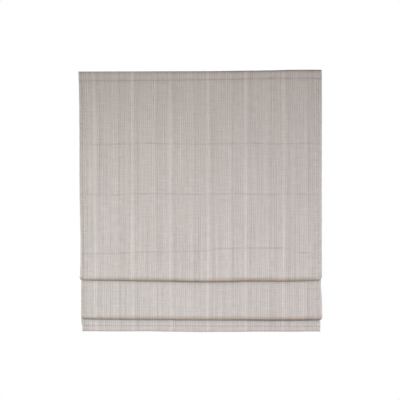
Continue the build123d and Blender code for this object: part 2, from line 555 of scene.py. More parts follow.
class Wardrobe:
    """Every finish, made once and shared."""

    def __init__(self) -> None:
        """Make all finishes."""
        self.skins: dict[Skin, bpy.types.Material] = {
            Skin.CLOTH: StripedCloth().make(),
            Skin.TIMBER: Timber().make(),
            Skin.HOOK: WovenTape("hook tape", (0.70, 0.70, 0.68, 1.0), 0.0016, 0.7, 0.5).make(),
            Skin.LOOP: WovenTape("loop tape", (0.72, 0.72, 0.70, 1.0), 0.0021, 0.95, 0.7).make(),
            Skin.POCKET: WovenTape("pocket tape").make(),
            Skin.ROD: Moulded("glass fibre", (0.70, 0.70, 0.65, 1.0), 0.3).make(),
            Skin.PLASTIC: Moulded("white plugs", (0.72, 0.72, 0.70, 1.0), 0.4).make(),
            Skin.RING: Moulded("white rings", (0.76, 0.76, 0.745, 1.0), 0.36).make(),
            Skin.WIRE: DrawnMetal("zinc plated wire", (0.62, 0.62, 0.59, 1.0), 0.33, (900.0, 900.0, 900.0)).make(),
            Skin.BAR: DrawnMetal("mill aluminium", (0.72, 0.72, 0.73, 1.0)).make(),
            Skin.THREAD: SewingThread("sewing thread", (0.47, 0.425, 0.40, 1.0)).make(),
        }

    def put_on(self, piece: bpy.types.Object, skin: Skin) -> None:
        """Dress a piece in one finish."""
        piece.data.materials.clear()
        piece.data.materials.append(self.skins[skin])


# Small helpers for shapes


def ease(share: float) -> float:
    """Smooth step from nought to one."""
    held = min(1.0, max(0.0, share))
    return held * held * (3.0 - 2.0 * held)


def bell(distance: float, width: float) -> float:
    """Round hump about nought."""
    return math.exp(-((distance / width) ** 2))


def along(table: Sequence[Pair], x: float) -> float:
    """Smooth reading of a table of places and values."""
    if x <= table[0][0]:
        return table[0][1]
    for (a, low), (b, high) in zip(table, table[1:]):
        if x <= b:
            return low + (high - low) * ease((x - a) / (b - a))
    return table[-1][1]


def steps(start: float, end: float, count: int) -> list[float]:
    """Even places from start to end, both included."""
    return [start + (end - start) * n / (count - 1) for n in range(count)]


def half_turn(count: int) -> list[Triple]:
    """Even steps over half a circle after its start: angle, share of the width and share of the height."""
    return [(angle, 1.0 - math.cos(angle), math.sin(angle)) for angle in steps(0.0, math.pi, count)[1:]]


def distance(a: Pair, b: Pair) -> float:
    """Way from one point of a section to another."""
    return math.hypot(b[0] - a[0], b[1] - a[1])


def grain(x: float, y: float, z: float) -> float:
    """Smooth noise between about minus one and one."""
    return noise.noise(Vector((x, y, z)))


@dataclass(frozen=True)
class Hump:
    """A round hump across a crease: its height, its place beside the crease and its width."""

    height: float
    place: float
    width: float

    def at(self, distance_off: float) -> float:
        """Height of the hump at a distance from the crease."""
        return self.height * bell(distance_off - self.place, self.width)


def clear_selection() -> None:
    """Leave nothing selected and nothing active."""
    for item in bpy.context.selected_objects:
        item.select_set(False)
    bpy.context.view_layer.objects.active = None


def only(piece: bpy.types.Object) -> None:
    """Select one piece and make it active."""
    clear_selection()
    piece.select_set(True)
    bpy.context.view_layer.objects.active = piece


def settle() -> None:
    """Bring the active piece's place, turn and size into its mesh."""
    bpy.ops.object.transform_apply(location=True, rotation=True, scale=True)


def mode(name: str) -> None:
    """Take the active piece into a mode."""
    bpy.ops.object.mode_set(mode=name)


def round_edges(piece: bpy.types.Object, width: float, segments: int) -> None:
    """Round the sharp edges of the active piece."""
    bevel = piece.modifiers.new("rounded", "BEVEL")
    bevel.width, bevel.segments, bevel.limit_method = width, segments, "ANGLE"
    bpy.ops.object.modifier_apply(modifier=bevel.name)


def smooth(piece: bpy.types.Object) -> None:
    """Shade a piece smoothly."""
    only(piece)
    bpy.ops.object.shade_smooth()
    clear_selection()


def thicken(piece: bpy.types.Object, thickness: float) -> None:
    """Give a sheet its thickness, half to each side, and smooth it."""
    only(piece)
    solid = piece.modifiers.new("thickness", "SOLIDIFY")
    solid.thickness, solid.offset = thickness, 0.0
    bpy.ops.object.modifier_apply(modifier=solid.name)
    smooth(piece)


def mesh_piece(name: str, points: Sequence[Sequence[float]], faces: Sequence[tuple[int, ...]]) -> bpy.types.Object:
    """Make an object from points and faces."""
    mesh = bpy.data.meshes.new(name)
    mesh.from_pydata(points, [], faces)
    mesh.update()
    piece = bpy.data.objects.new(name, mesh)
    bpy.context.collection.objects.link(piece)
    return piece


def sheet_from(name: str, grid: Grid, maps: dict[str, list[list[Pair]]]) -> bpy.types.Object:
    """Make a one-layer sheet from rows of points.

    Args:
        name: the new object's name.
        grid: rows of points, each as long as the others.
        maps: two values for each point, by the name of the map that holds them.

    Returns:
        The sheet with its maps.
    """
    wide = len(grid[0])
    starts = [row * wide + column for row in range(len(grid) - 1) for column in range(wide - 1)]
    faces = [(first, first + wide, first + wide + 1, first + 1) for first in starts]
    piece = mesh_piece(name, [tuple(point) for row in grid for point in row], faces)
    for title, rows in maps.items():
        chart = piece.data.uv_layers.new(name=title)
        places = [place for row in rows for place in row]
        for corner in piece.data.loops:
            chart.data[corner.index].uv = places[corner.vertex_index]
    return piece


# The cloth


@dataclass
class SewnLine:
    """A crease across the front: how far it wanders from its level and how deep it is."""

    drop: float
    wander: Table
    depth: Table = ((-0.5, 1.0), (0.5, 1.0))

    def level(self, x: float) -> float:
        """Height of the crease at one place across the blind."""
        return along(self.wander, x) - self.drop


@dataclass
class FoldedCloth:
    """The blind's one sheet of cloth, from its turned heading to its bottom hem."""

    half: float = 0.5
    thickness: float = 0.0008
    top: float = -0.0015
    heading: float = 0.035
    heading_front: float = -0.0340
    heading_back: float = -0.0328
    body: float = -0.0336
    roll: float = 0.0086
    roll_height: float = 0.015
    turn: float = 0.0019
    turn_levels: tuple[float, float] = (-0.8053, -0.9763)
    bottom: float = -1.083
    hem_radius: float = 0.0024
    hem_height: float = 0.020
    side_hem: float = 0.0142
    side_gap: float = 0.00065
    seams: tuple[SewnLine, ...] = (
        SewnLine(
            0.301,
            (
                (-0.50, 0.001), (-0.43, -0.0025), (-0.39, -0.003), (-0.33, 0.0), (-0.22, 0.0025),
                (-0.10, -0.0005), (-0.02, -0.0017), (0.11, 0.0006), (0.20, 0.0016), (0.33, -0.001),
                (0.43, 0.001), (0.50, 0.0),
            ),
        ),
        SewnLine(
            0.509,
            (
                (-0.50, 0.0005), (-0.41, -0.003), (-0.35, -0.0022), (-0.30, 0.001), (-0.15, 0.0018),
                (0.0, -0.0006), (0.14, 0.0012), (0.28, -0.0016), (0.40, 0.0008), (0.50, -0.001),
            ),
        ),
        SewnLine(
            0.747,
            (
                (-0.50, -0.0096), (-0.42, -0.009), (-0.34, -0.006), (-0.22, -0.002), (-0.10, -0.0005),
                (0.02, 0.0024), (0.09, 0.012), (0.20, 0.0146), (0.33, 0.0148), (0.40, -0.003), (0.50, -0.0035),
            ),
            (
                (-0.50, 1.0), (0.04, 0.9), (0.10, 0.9), (0.32, 1.0), (0.345, 0.0), (0.385, 0.0),
                (0.41, 1.0), (0.50, 1.0),
            ),
        ),
    )
    fold_drops: tuple[Table, Table] = (
        (
            (-0.50, 0.8644), (-0.47, 0.8670), (-0.37, 0.8678), (-0.20, 0.8699), (0.0, 0.8727), (0.10, 0.8725),
            (0.20, 0.8692), (0.27, 0.8690), (0.33, 0.8704), (0.41, 0.8682), (0.48, 0.8663), (0.50, 0.8640),
        ),
        (
            (-0.50, 1.0308), (-0.40, 1.0325), (-0.20, 1.0336), (0.0, 1.0341), (0.15, 1.0344),
            (0.30, 1.0353), (0.40, 1.0348), (0.48, 1.0334), (0.50, 1.0318),
        ),
    )
    heading_edge: Table = (
        (-0.50, -0.0384), (-0.30, -0.0372), (0.0, -0.0356), (0.12, -0.0340), (0.22, -0.0318),
        (0.33, -0.0298), (0.43, -0.0294), (0.50, -0.0312),
    )
    crown_rise: Table = (
        (-0.50, 0.0006), (0.0, 0.0005), (0.18, 0.0012), (0.29, 0.0016), (0.38, 0.0036),
        (0.47, 0.0038), (0.50, 0.0036),
    )
    bottom_drops: Table = (
        (-0.50, 0.0024), (-0.35, 0.0027), (-0.22, 0.0018), (-0.15, 0.0029), (0.0, 0.0044), (0.10, 0.0034),
        (0.25, 0.0017), (0.40, 0.0016), (0.46, 0.0004), (0.50, 0.0004),
    )
    # Painted shade at the two folds, across the blind: how dark the grey shade on the underside of each roll gets,
    # and how dark the warm shade is where each roll starts
    fold_under_shade: tuple[Table, Table] = (
        ((-0.20, 0.0), (-0.06, 0.35), (0.10, 0.35), (0.24, 0.0)),
        ((0.06, 0.0), (0.22, 0.85), (0.46, 0.95), (0.50, 0.50)),
    )
    fold_early_shade: tuple[Table, Table] = (
        (
            (-0.50, 0.04), (-0.42, 0.18), (-0.20, 0.30), (0.0, 0.14), (0.14, 0.42), (0.28, 0.40),
            (0.40, 0.35), (0.50, 0.30),
        ),
        ((-0.50, 0.08), (-0.40, 0.20), (-0.20, 0.32), (0.20, 0.36), (0.40, 0.40), (0.50, 0.40)),
    )
    bulge: Pair = (0.0055, 0.0010)
    bulge_reach: Pair = (0.47, 0.06)
    side_seam: float = 0.0134
    across: int = 132
    # Rows and columns of points, as distances from the crease or edge that they follow
    margin: float = 0.026
    heading_rows: Row = (0.0032, 0.0018, 0.0009, 0.0003, -0.0002, -0.0008, -0.0016, -0.003, -0.006)
    seam_rows: Row = (0.009, 0.0064, 0.0042, 0.0024, 0.001)
    seam_reach: float = 0.012
    row_gap: float = 0.0115
    panel_rows: tuple[int, int] = (6, 15)
    roll_reach: float = 0.012
    roll_rows: Row = (0.008, 0.005, 0.0025, 0.0)
    hem_rows: Row = (0.0035, 0.0018, 0.0008, 0.0, -0.0012, -0.003, -0.006)
    near_rows: Row = (0.0, 0.002, 0.0045, 0.007, 0.0095)
    beside_seam: Row = (-0.002, -0.0008, 0.0, 0.0012, 0.003)
    # Relief of the heading, seams, hems and slack
    heading_flare: float = 0.0032
    heading_lean: float = 0.0018
    lip: Hump = Hump(0.0005, -0.0010, 0.0022)
    welts: tuple[Hump, Hump] = (Hump(0.0009, 0.005, 0.0038), Hump(0.0006, -0.005, 0.004))
    groove: Hump = Hump(0.0008, 0.0, 0.0013)
    ripple: Hump = Hump(0.00016, 0.0, 0.011)
    pinch: Hump = Hump(0.0012, 0.0006, 0.0015)
    pocket_dip: float = 0.001
    pocket_zone: Pair = (0.021, 0.032)
    pocket_front: float = 0.0009
    free_front: float = 0.004
    slacks: Triple = (0.0004, 0.0011, 0.0009)
    hem_seam: Hump = Hump(0.0010, 0.0, 0.0026)
    hem_swell: Hump = Hump(0.0012, 0.0065, 0.005)
    hem_drag: Hump = Hump(0.0007, 0.004, 0.0062)
    hem_zones: tuple[Hump, Hump] = (Hump(1.0, 0.006, 0.006), Hump(1.0, 0.004, 0.011))
    # Waver of the side edges
    edge_band: Pair = (0.44, 0.06)
    edge_wobble: float = 0.0006
    left_flare: Pair = (0.0052, 0.09)
    left_waist: Triple = (0.0042, -0.46, 0.26)
    fold_tucks: tuple[Pair, Pair] = ((0.0035, 0.0065), (0.002, 0.0055))
    right_drift: Pair = (0.0062, 0.001)
    right_fall: Pair = (0.05, 0.16)
    left_steps: Pair = (0.0030, 0.0026)
    left_corner: Triple = (0.0034, 0.034, 0.016)
    # Painted shade in folds and creases, row by row
    roll_tones: Triple = (1.0, 0.5, 0.15)
    roll_ends: Pair = (0.45, 0.75)
    heading_tones: Row = (1.0, 1.0, 1.0, 1.0, 1.0, 1.0, 1.0, 0.66, 0.34, 0.12, 0.03)
    band_tones: Row = (0.40, 0.55, 0.55, 0.45, 0.15)
    hem_tones: Row = (0.25, 0.50, 0.50, 0.25)
    bottom_tones: Row = (0.10, 0.42, 0.6, 0.8, 0.9, 0.9, 0.8, 0.8, 0.5)
    seam_tones: Row = (0.42, 0.34, 0.14, 0.03)
    side_tones: Pair = (0.42, 0.05)
    # Filled in while the cloth is built
    flat_size: Pair = (0.0, 0.0)
    marks: dict[str, int] = field(default_factory=dict)
    grid: Grid = field(default_factory=list)
    columns: list[float] = field(default_factory=list)

    def heading_level(self, x: float) -> float:
        """Lower edge of the heading band, higher on the right."""
        return along(self.heading_edge, x)

    def crown(self, x: float) -> float:
        """Rise of the top edge, which isn't quite level."""
        return along(self.crown_rise, x)

    def bottom_sag(self, x: float) -> float:
        """Depth by which the bottom edge hangs lower than its nominal level."""
        return along(self.bottom_drops, x)

    def belly(self, number: int, x: float, above: float) -> float:
        """Forward bulge of the cloth over a roll.

        Args:
            number: number of the roll.
            x: place across the blind.
            above: height above the start of the roll's half circle.

        Returns:
            Distance towards the room.
        """
        wide, high = self.bulge_reach
        return self.bulge[number] * max(0.0, 1.0 - (x / wide) ** 2) * ease((high - above) / high)

    def front_levels(self, start: int) -> list[float]:
        """Nominal heights of the rows of points on the front layer, closer at creases.

        Args:
            start: number of rows before them.

        Returns:
            Heights from the top edge to below the last seam.
        """
        base = self.top - self.heading
        found = steps(self.top - 0.0006, base + 0.005, 8) + [base + shift for shift in self.heading_rows]
        last = found[-1]
        for number, seam in enumerate(self.seams, start=1):
            above = self.seam_reach - seam.drop
            count = max(3, round((last - above) / self.row_gap))
            found += steps(last, above, count)[1:] + [shift - seam.drop for shift in self.seam_rows]
            self.marks[f"seam_{number}"] = start + len(found)
            last = -seam.drop - self.seam_reach
            found += [-seam.drop, *(-seam.drop - shift for shift in reversed(self.seam_rows)), last]
        return found

    def bent(self, x: float, level: float) -> float:
        """Real height of a row at one place, bent to follow heading and creases."""
        shift = bell(level - self.top + self.heading, 0.03) * (self.heading_level(x) - self.top + self.heading)
        shift += self.crown(x) * ease((level - self.top + 0.02) / 0.02)
        for seam in self.seams:
            shift += bell(level + seam.drop, 0.05) * (seam.level(x) + seam.drop)
        return level + shift

    def front_depth(self, x: float, z: float) -> float:
        """Depth of the front layer's middle at one place.

        Args:
            x: place across the blind.
            z: height.

        Returns:
            Depth, with the heading band, seams, puckers and slack.
        """
        edge = self.heading_level(x)
        below = edge - z
        if below < 0.0:
            share = -below / (self.top + self.crown(x) - edge)
            lean = ease((share - 0.72) / 0.28)
            flare = (1.0 - min(1.0, share)) ** 1.4
            y = self.heading_front - self.heading_flare * flare - self.lip.at(below) + self.heading_lean * lean
            return y + self.slacks[0] * self.slack(x, z, 1.0)
        y = self.body + 0.0004 * math.exp(-below / 0.010)
        held = 0.0
        for number, seam in enumerate(self.seams):
            fixed = z + seam.drop
            dip = ease((self.pocket_zone[0] - fixed) / 0.015) * ease((fixed + self.pocket_zone[1]) / 0.015)
            held = max(held, dip)
            off = z - seam.level(x)
            deep = along(seam.depth, x)
            swell = 0.75 + 0.5 * grain(x * 23.0, number * 7.0, 3.0)
            wave = math.sin(x * 410.0 + 3.0 * math.sin(x * 37.0))
            y += self.pocket_dip * dip - deep * swell * sum(welt.at(off) for welt in self.welts)
            y += deep * (self.groove.at(off) + wave * self.ripple.at(off))
        y -= self.belly(0, x, z - self.fold_level(0, x))
        y += self.slacks[1] * self.slack(x, z, 2.0) * ease(below / 0.06) * (1.0 - 0.7 * held)
        return min(y, self.body + self.pocket_front + self.free_front * (1.0 - held))

    @staticmethod
    def slack(x: float, z: float, seed: float) -> float:
        """Gentle slack of hanging cloth, between about minus one and one."""
        return grain(x * 5.2, z * 3.4, seed) + 0.4 * grain(x * 15.0, z * 5.0, seed + 11.0)

    def fold_level(self, number: int, x: float) -> float:
        """Height at which a roll's half circle starts."""
        return self.roll_height - along(self.fold_drops[number], x)

    def section(self, x: float) -> list[Pair]:
        """Path of the cloth's middle at one place across the blind.

        Args:
            x: place across the blind.

        Returns:
            Depth and height of every row, from the turned edge of the heading to the bottom hem's seam.
        """
        self.marks = {}
        path = self.front_path(x)
        plane = self.fold_path(x, path)
        self.hem_path(x, plane, path)
        return path

    def front_path(self, x: float) -> list[Pair]:
        """Start of the path: the heading, turned over the top, and the front layer.

        Args:
            x: place across the blind.

        Returns:
            Depths and heights down to below the last seam.
        """
        rim = (self.heading_back - self.heading_front) / 2
        crest = self.top + self.crown(x)
        path = [(self.heading_back, z) for z in steps(self.top - self.heading + 0.008, self.top - 0.0055, 5)]
        path.append((self.heading_back + 0.0011, self.top - 0.0022))
        centre = self.heading_front + rim + self.heading_lean
        for angle in steps(0.0, math.pi, 7)[1:-1]:
            path.append((centre + rim * math.cos(angle), crest - rim + rim * math.sin(angle)))
        start = len(path)
        self.marks.update(front=start, heading=start + 13)
        for level in self.front_levels(start):
            z = self.bent(x, level)
            path.append((self.front_depth(x, z), z))
        return path

    def fold_path(self, x: float, path: list[Pair]) -> float:
        """Add both rolls and the tight turns behind them to the path.

        Args:
            x: place across the blind.
            path: the path so far, which grows.

        Returns:
            Depth of the bottom panel.
        """
        first, plane = path[-1][1], self.body
        for number, turn_level in enumerate(self.turn_levels):
            low = self.fold_level(number, x)
            self.marks[f"panel_{number + 1}"] = len(path)
            levels = steps(first, low + self.roll_reach, self.panel_rows[number])[1:]
            for z in levels + [low + shift for shift in self.roll_rows]:
                path.append((self.panel_depth(plane, x, z, number) if number else self.front_depth(x, z), z))
            lead = path[-1][0]
            self.marks[f"roll_{number + 1}"] = len(path)
            for angle, back, down in half_turn(19):
                drift = (plane - lead) * angle / math.pi
                path.append((lead + drift + self.roll * back, low - self.roll_height * down))
            rise = plane + 2 * self.roll
            self.marks[f"rise_{number + 1}"] = len(path)
            path += [(rise, z) for z in steps(low, turn_level, 8)[1:]]
            path += [(rise + self.turn * back, turn_level + self.turn * up) for _, back, up in half_turn(9)]
            first, plane = turn_level, rise + 2 * self.turn
        self.marks["panel_3"] = len(path)
        return plane

    def hem_path(self, x: float, plane: float, path: list[Pair]) -> None:
        """Add the bottom panel and its turned hem to the path.

        Args:
            x: place across the blind.
            plane: depth of the bottom panel.
            path: the path so far, which grows.
        """
        base = self.bottom - self.bottom_sag(x) + self.hem_radius + self.thickness / 2
        line = self.bottom + self.hem_height
        rows = steps(self.turn_levels[-1], line + 0.006, 12)[1:]
        self.marks["hem"] = len(path) + len(rows) + 2
        rows += [line + shift for shift in self.hem_rows] + steps(line - 0.009, base, 4)
        path += [(self.panel_depth(plane, x, z, 2) + self.pinch.at(z - line), z) for z in rows]
        self.marks["under"] = len(path)
        lead = path[-1][0]
        path += [(lead + self.hem_radius * back, base - self.hem_radius * down) for _, back, down in half_turn(11)]
        path += [(lead + 2 * self.hem_radius, z) for z in steps(base, line - 0.0008, 6)[1:]]
        path += [(plane + 0.0018, line + 0.0004), (plane + 0.0010, line + 0.0016)]

    def panel_depth(self, plane: float, x: float, z: float, number: int) -> float:
        """Depth of the panels below the folds, with their slack."""
        top = self.turn_levels[number - 1]
        free = ease((top - z - 0.03) / 0.05)
        if number == 2:
            free *= ease((z - self.bottom - 0.004) / 0.03)
        else:
            plane -= self.belly(number, x, z - self.fold_level(number, x))
        return plane + self.slacks[2] * free * self.slack(x, z, 4.0 + number)

    def reached(self, number: int, row: int) -> float:
        """How far a row has gone up the hidden rise behind a fold."""
        begin = self.marks[f"rise_{number}"]
        return ease((row - begin) / (self.marks[f"panel_{number + 1}"] - begin))

    def edge_shift(self, x: float, row: int, z: float) -> float:
        """Small sideways shift of points near the sides of the blind.

        Args:
            x: place across the blind.
            row: number of the row.
            z: height of the point.

        Returns:
            Shift along X.
        """
        side = x / self.half
        outer = min(1.0, max(0.0, (abs(x) - self.edge_band[0]) / self.edge_band[1]) ** 2)
        shift = 0.0
        if row < self.marks["roll_1"] and side < 0.0:
            (flare, fall), (waist, start, reach) = self.left_flare, self.left_waist
            shift -= (flare * math.exp((z - self.top) / fall) - waist * ease((start - z) / reach)) * side * side
        for number, (left, right) in enumerate(self.fold_tucks, start=1):
            begin = self.marks[f"roll_{number}"]
            share = (row - begin) / (self.marks[f"rise_{number}"] - begin)
            if 0.0 <= share < 1.0:
                shift -= math.copysign(left if side < 0 else right, x) * math.sin(math.pi * share) ** 1.5 * outer
        second, third = self.reached(1, row), self.reached(2, row)
        if side > 0.0:
            down = ease((self.turn_levels[0] - self.right_fall[0] - z) / self.right_fall[1])
            shift += (self.right_drift[0] * down - self.right_drift[1]) * second * (1.0 - third) * outer
        else:
            shift += (self.left_steps[0] * second - self.left_steps[1] * third) * outer
            if row >= self.marks["panel_3"]:
                out, start, reach = self.left_corner
                shift += out * ease((self.bottom + start - z) / reach) * outer
        return shift + self.edge_wobble * grain(z * 31.0, side * 4.0, row * 0.004) * outer

    def on_front(self, u: float) -> float:
        """Place across the blind for a place across the flat cloth."""
        return max(-self.half, min(self.half, u))

    def build(self) -> bpy.types.Object:
        """Build the whole sheet, with the side hems turned to the back.

        Returns:
            The finished cloth.
        """
        edge = math.pi * self.side_gap
        turned = [edge * n / 4 for n in range(1, 5)] + [edge + s for s in (0.004, 0.009, self.side_hem)]
        near = [*self.near_rows, *(self.side_seam + s for s in self.beside_seam), 0.020]
        flat = [-self.half - s for s in reversed(turned)] + [-self.half + s for s in near]
        flat += steps(-self.half + self.margin, self.half - self.margin, self.across)
        flat += [self.half - s for s in reversed(near)] + [self.half + s for s in turned]
        self.columns = flat
        sections = {x: self.section(x) for x in dict.fromkeys(self.on_front(u) for u in flat)}
        middle = self.section(0.0)
        length = [0.0]
        for a, b in zip(middle, middle[1:]):
            length.append(length[-1] + distance(a, b))
        rows = range(len(middle))
        self.grid = [[self.place(u, row, sections) for u in flat] for row in rows]
        # Shade holds shares of painted shade for folds and creases; Hem holds shares of the hem puckers, for bumps
        # and painted shade
        maps = {
            "Cloth": [[(u, length[-1] - length[row]) for u in flat] for row in rows],
            "Shade": [[self.shade(row, u) for u in flat] for row in rows],
            "Hem": [[self.hem_zone(row, u) for u in flat] for row in rows],
        }
        piece = sheet_from("folded_cloth", self.grid, maps)
        LOG.info("cloth: %d rows, %d columns, %.3f m long", len(middle), len(flat), length[-1])
        thicken(piece, self.thickness)
        self.flat_size = (flat[-1] - flat[0], length[-1])
        return piece

    def place(self, u: float, row: int, sections: dict[float, list[Pair]]) -> Vector:
        """Place of one point of the sheet.

        Args:
            u: place across the flat cloth, past the edge for a turned hem.
            row: number of the row.
            sections: paths of the cloth, by place across the blind.

        Returns:
            The point in the frame.
        """
        x = self.on_front(u)
        path = sections[x]
        y, z = path[row]
        before, after = path[max(0, row - 1)], path[min(len(path) - 1, row + 1)]
        span = distance(before, after) or 1.0
        back = ((before[1] - after[1]) / span, (after[0] - before[0]) / span)
        past = abs(u) - self.half
        shift = self.edge_shift(x, row, z)
        side = math.copysign(1.0, u)
        pucker = self.hem_pucker(u, row, z)
        y += back[0] * pucker
        z += back[1] * pucker
        if past <= 0.0:
            return Vector((x + shift, y, z))
        gap = self.side_gap * self.hem_room(row)
        round_off = math.pi * self.side_gap
        if past < round_off:
            angle = past / self.side_gap
            out, behind = gap * math.sin(angle), gap * (1.0 - math.cos(angle))
        else:
            out, behind = -(past - round_off), 2 * gap
        return Vector((x + shift + side * out, y + back[0] * behind, z + back[1] * behind))

    def shade(self, row: int, u: float) -> Pair:
        """How much painted shade darkens the cloth's colour in a fold and in a sewn crease.

        Args:
            row: number of the row.
            u: place across the flat cloth.

        Returns:
            Shares of painted shade for fold and crease.
        """
        fold, crease = 0.0, 0.0
        x = self.on_front(u)
        inside = self.half - abs(x)
        # Painted shade just above each roll, on the roll and on its underside
        for number in (0, 1):
            begin, end = self.marks[f"roll_{number + 1}"], self.marks[f"rise_{number + 1}"]
            share = (row - begin) / (end - begin)
            early = along(self.fold_early_shade[number], x)
            if begin - 4 < row < begin:
                fold = max(fold, early * self.roll_tones[begin - 1 - row])
            elif share >= 0.0:
                ends = self.roll_ends[number]
                depth = (early + (1.0 - early) * min(1.0, share / 0.32) ** 0.8) * ease((1.05 - share) / 0.5)
                depth *= ends + (1.0 - ends) * ease(inside / 0.06)
                fold = max(fold, depth)
                crease = max(crease, depth * ease(share / 0.25) * along(self.fold_under_shade[number], x))
        front = self.marks["front"]
        aside = ease((abs(x) - 0.06) / 0.14)
        # Painted shade at the heading's top and lower edge, at the hem line and at the bottom edge
        for first, tones, share in (
            (front - 6, self.heading_tones, 0.6 + 0.4 * ease((x + 0.30) / 0.25)),
            (front + 12, self.band_tones, 1.0),
            (self.marks["hem"] - 1, self.hem_tones, 1.0),
            (self.marks["under"] - 2, self.bottom_tones, 0.5 + 0.5 * aside),
        ):
            if 0 <= row - first < len(tones):
                crease = max(crease, tones[row - first] * share)
        # Painted shade in the sewn seams across the front
        for number, seam in enumerate(self.seams, start=1):
            away = abs(row - self.marks[f"seam_{number}"])
            if away < len(self.seam_tones):
                broken = 0.72 + 0.9 * grain(x * 27.0, number * 5.0, 6.0)
                crease = max(crease, self.seam_tones[away] * along(seam.depth, x) * broken)
        # Painted shade along the side hems' seams
        if row > front + 12:
            side = bell(self.half - abs(u) - self.side_seam, 0.0021)
            crease = max(crease, self.side_tones[u >= 0.0] * side)
        return fold, crease

    def hem_zone(self, row: int, u: float) -> Pair:
        """Shares by which the cloth puckers on a side hem and beside its seam, as bumps and as painted shade in the
        finish.
        """
        if row <= self.marks["heading"]:
            return 0.0, 0.0
        inside = self.half - abs(u)
        return self.hem_zones[0].at(inside), self.hem_zones[1].at(inside - self.side_seam)

    def hem_room(self, row: int) -> float:
        """Share of the hem's spacing, less where the heading covers it."""
        start = self.marks["heading"] - 1
        if row <= start:
            return 0.25
        return 0.25 + 0.75 * ease((row - start) / 8.0)

    def hem_pucker(self, u: float, row: int, z: float) -> float:
        """Small puckers along the sewn side hems, towards the back."""
        if row <= self.marks["heading"]:
            return 0.0
        inside = self.half - abs(u)
        wave = grain(z * 74.0, math.copysign(5.0, u), row * 0.01)
        drag = grain(z * 120.0 + 40.0 * u, math.copysign(9.0, u), 2.0)
        off = inside - self.side_seam
        sewn = self.hem_seam.at(off) * (1.0 + 0.8 * wave) + self.hem_drag.at(off) * drag
        return sewn - self.hem_swell.at(inside) * (0.4 + wave)

    def facing(self, row: int, column: int) -> Vector:
        """Way that the face of the cloth looks at one point."""
        wide = self.grid[row]
        across = wide[min(len(wide) - 1, column + 1)] - wide[max(0, column - 1)]
        down = self.grid[min(len(self.grid) - 1, row + 1)][column] - self.grid[max(0, row - 1)][column]
        return down.cross(across).normalized()

    def stitch_point(self, row: int, column: int, lift: float) -> tuple[Vector, Vector]:
        """Point of a seam off the cloth's middle, with the way it faces."""
        way = self.facing(row, column)
        return self.grid[row][column] + way * lift, way * math.copysign(1.0, lift)

    def row_line(self, row: int, inset: float, lift: float) -> SeamPath:
        """Path along one row for a seam.

        Args:
            row: number of the row.
            inset: distance kept from both sides.
            lift: distance in front of the cloth's middle, or behind it if negative.

        Returns:
            Points of the seam with the way they face.
        """
        kept = [column for column, u in enumerate(self.columns) if abs(u) <= self.half - inset]
        return [self.stitch_point(row, column, lift) for column in kept]

    def column_line(self, u: float, first: int, last: int, lift: float) -> SeamPath:
        """Path down one column for a seam.

        Args:
            u: place across the flat cloth.
            first: row to start at.
            last: row to end before.
            lift: distance in front of the cloth's middle, or behind it if negative.

        Returns:
            Points of the seam with the way they face.
        """
        column = min(range(len(self.columns)), key=lambda n: abs(self.columns[n] - u))
        return [self.stitch_point(row, column, lift) for row in range(first, last)]


# Sewing


@dataclass
class Template:
    """Points and faces of a small shape that is modelled once and copied many times."""

    points: list[Vector]
    faces: list[tuple[int, ...]]

    @classmethod
    def take(cls, piece: bpy.types.Object) -> "Template":
        """Read a piece's mesh and remove the piece."""
        points = [vertex.co.copy() for vertex in piece.data.vertices]
        faces = [tuple(face.vertices) for face in piece.data.polygons]
        bpy.data.objects.remove(piece, do_unlink=True)
        return cls(points, faces)

    def copied(self, name: str, frames: Sequence[Sequence[Vector]]) -> bpy.types.Object:
        """Copy the shape to many places.

        Args:
            name: the new object's name.
            frames: an origin and three axes for every copy.

        Returns:
            One smooth piece with all the copies.
        """
        points: list[tuple[float, ...]] = []
        faces: list[tuple[int, ...]] = []
        for origin, along_x, along_y, along_z in frames:
            first = len(points)
            points += [tuple(origin + along_x * p.x + along_y * p.y + along_z * p.z) for p in self.points]
            faces += [tuple(first + n for n in face) for face in self.faces]
        piece = mesh_piece(name, points, faces)
        smooth(piece)
        return piece


@dataclass(frozen=True)
class Stitching:
    """Machine stitches laid along seams."""

    length: float = 0.0031
    radius: float = 0.00028
    flat_share: float = 0.36
    end_dip: float = 0.55

    @cache
    def template(self) -> Template:
        """Model one stitch: a thread drawn out along X, with both ends pulled down into the cloth.

        Returns:
            The stitch at its size.
        """
        clear_selection()
        bpy.ops.mesh.primitive_uv_sphere_add(segments=6, ring_count=5, radius=1.0, rotation=(0.0, math.pi / 2, 0.0))
        stitch = bpy.context.active_object
        settle()
        mode("EDIT")
        bpy.ops.mesh.select_all(action="SELECT")
        bpy.ops.transform.resize(value=(self.length / 2, self.radius, self.radius))
        bpy.ops.mesh.select_all(action="DESELECT")
        mode("OBJECT")
        for point in stitch.data.vertices:
            point.select = abs(point.co.x) > self.flat_share * self.length
        mode("EDIT")
        bpy.ops.transform.translate(value=(0.0, 0.0, -self.end_dip * self.radius))
        mode("OBJECT")
        return Template.take(stitch)

    def lay(self, name: str, lines: Sequence[SeamPath], pitch: float = 0.0042) -> bpy.types.Object:
        """Lay stitches along every line.

        Args:
            name: the new object's name.
            lines: seams to sew.
            pitch: distance from stitch to stitch.

        Returns:
            One piece with all the stitches.
        """
        frames: list[tuple[Vector, ...]] = []
        for line in lines:
            spare = pitch / 2
            for (a, way_a), (b, way_b) in zip(line, line[1:]):
                run = (b - a).length
                if run < 1e-9:
                    continue
                forward = (b - a) / run
                while spare < run:
                    up = way_a.lerp(way_b, spare / run).normalized()
                    frames.append((a.lerp(b, spare / run), forward, up.cross(forward).normalized(), up))
                    spare += pitch
                spare -= run
        return self.template().copied(name, frames)


# Pieces behind the cloth


